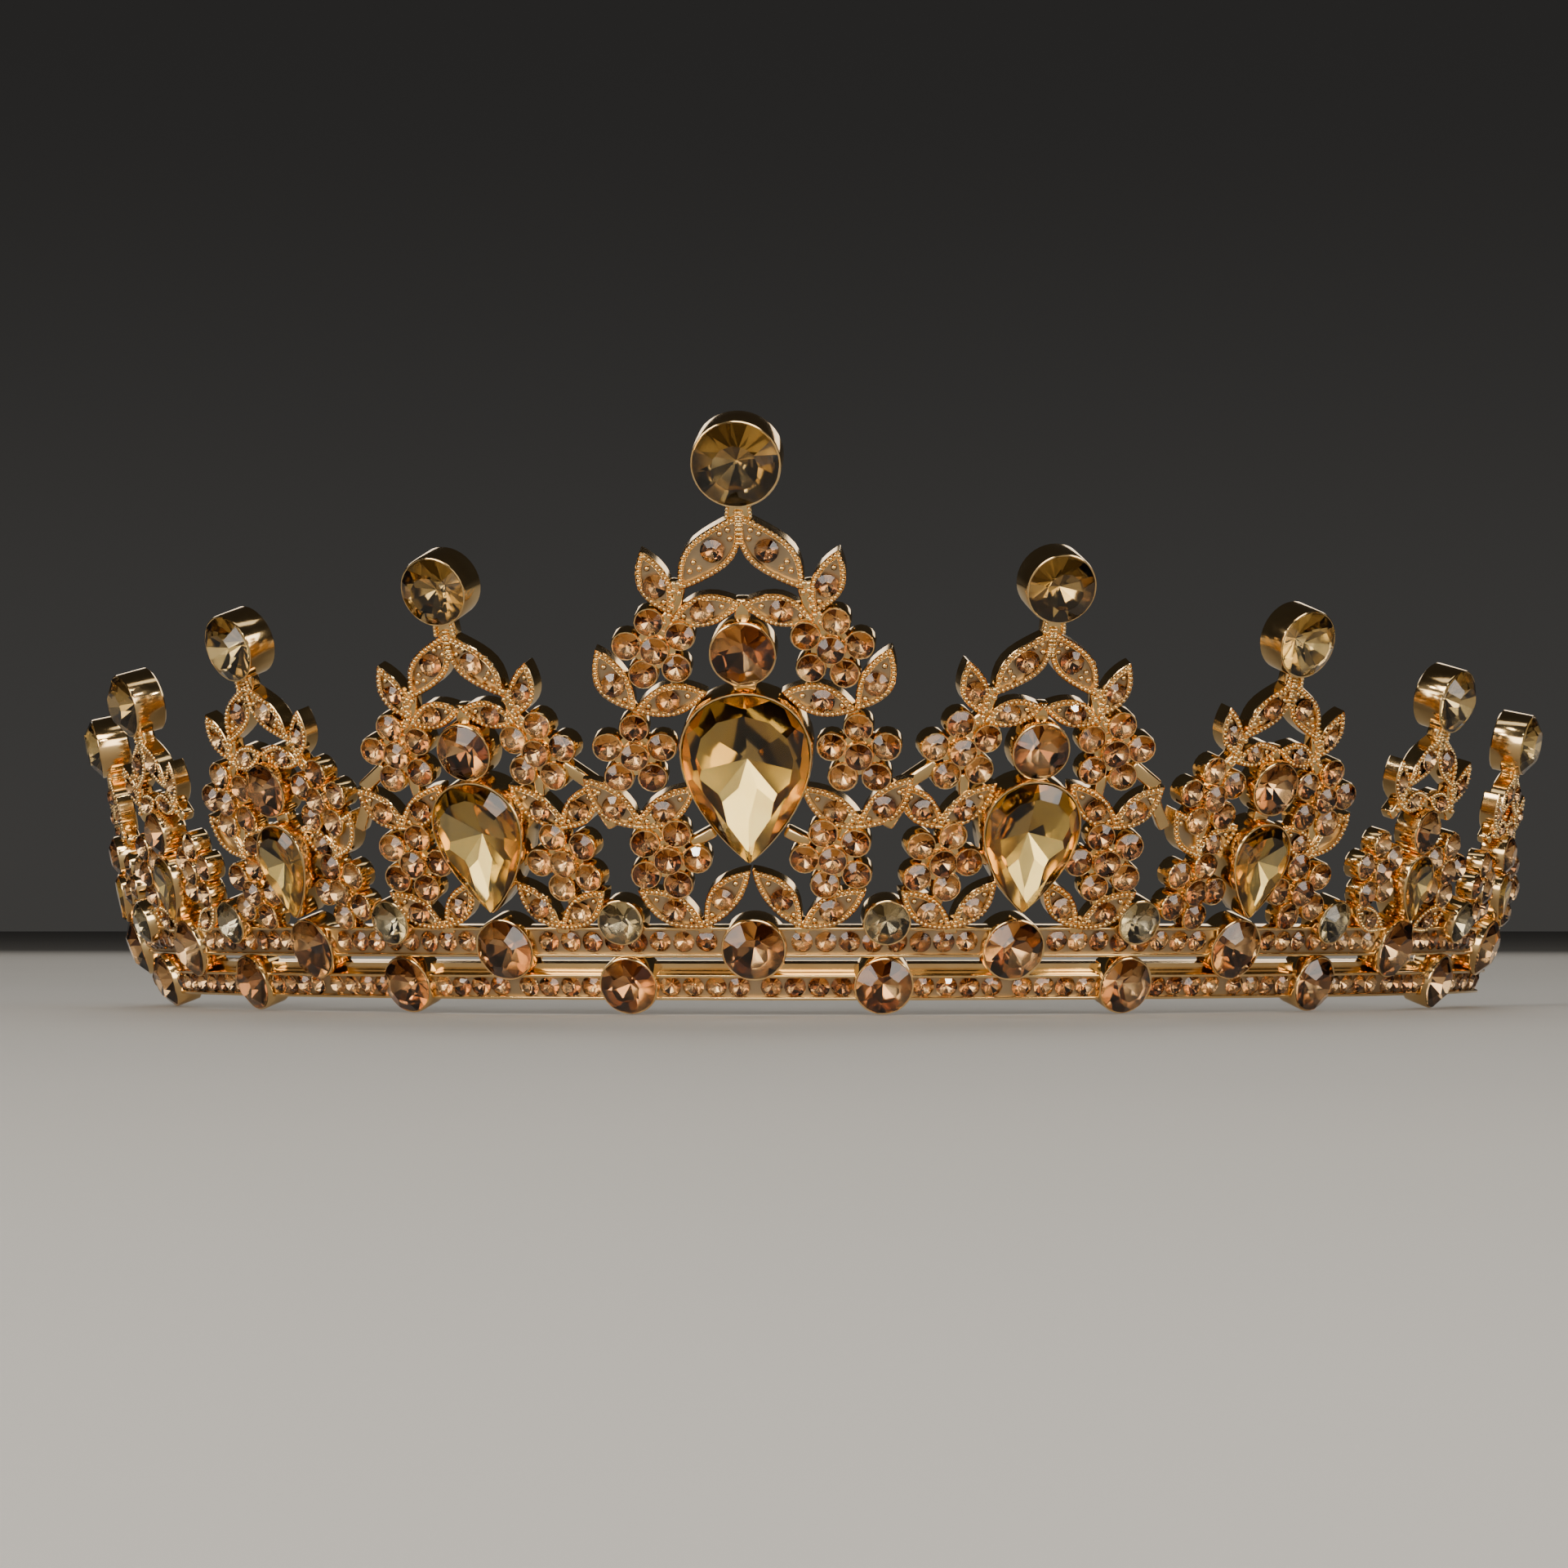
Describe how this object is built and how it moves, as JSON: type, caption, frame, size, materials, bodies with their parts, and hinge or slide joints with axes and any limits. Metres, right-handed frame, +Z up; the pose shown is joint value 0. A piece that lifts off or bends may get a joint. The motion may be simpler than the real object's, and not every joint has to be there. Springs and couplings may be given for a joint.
{
  "type": "baroque rhinestone tiara crown",
  "caption": "Open gold-plated tiara crown with pierced baroque crests, pear and round cut glass stones and two stone-set bands, stiff and self-standing.",
  "frame": {"origin": "middle of the footprint box, on the surface that the tiara rests on", "axes": "+X to the right seen from the front, +Z up, the front and the tall centre crest face -Y, the open back faces +Y"},
  "size_m": [0.1676, 0.0992, 0.0611],
  "materials": {
    "gold_plate": "bright rose-gold plate on the walls, beads and rails, satin in the recesses",
    "topaz_glass": "foil-backed cut glass, warm light topaz",
    "amber_glass": "foil-backed cut glass, golden amber",
    "citrine_glass": "foil-backed cut glass, pale citrine yellow",
    "smoke_glass": "foil-backed cut glass, greyish champagne"
  },
  "bodies": {
    "root": {"frame": "gold_plate", "end_eye_left": "gold_plate", "end_eye_right": "gold_plate", "upper_row_stones": "topaz_glass", "lower_row_stones": "topaz_glass", "between_stones": "smoke_glass", "pear_stone_left_4": "citrine_glass", "pear_stone_left_3": "citrine_glass", "pear_stone_left_2": "citrine_glass", "pear_stone_left_1": "citrine_glass", "pear_stone_centre": "citrine_glass", "pear_stone_right_1": "citrine_glass", "pear_stone_right_2": "citrine_glass", "pear_stone_right_3": "citrine_glass", "pear_stone_right_4": "citrine_glass", "top_stone_left_4": "amber_glass", "top_stone_left_3": "amber_glass", "top_stone_left_2": "amber_glass", "top_stone_left_1": "amber_glass", "top_stone_centre": "amber_glass", "top_stone_right_1": "amber_glass", "top_stone_right_2": "amber_glass", "top_stone_right_3": "amber_glass", "top_stone_right_4": "amber_glass", "round_stone_left_4": "topaz_glass", "round_stone_left_3": "topaz_glass", "round_stone_left_2": "topaz_glass", "round_stone_left_1": "topaz_glass", "round_stone_centre": "topaz_glass", "round_stone_right_1": "topaz_glass", "round_stone_right_2": "topaz_glass", "round_stone_right_3": "topaz_glass", "round_stone_right_4": "topaz_glass", "flower_stones_left_4": "topaz_glass", "flower_stones_left_3": "topaz_glass", "flower_stones_left_2": "topaz_glass", "flower_stones_left_1": "topaz_glass", "flower_stones_centre": "topaz_glass", "flower_stones_right_1": "topaz_glass", "flower_stones_right_2": "topaz_glass", "flower_stones_right_3": "topaz_glass", "flower_stones_right_4": "topaz_glass"}
  },
  "joints": []
}
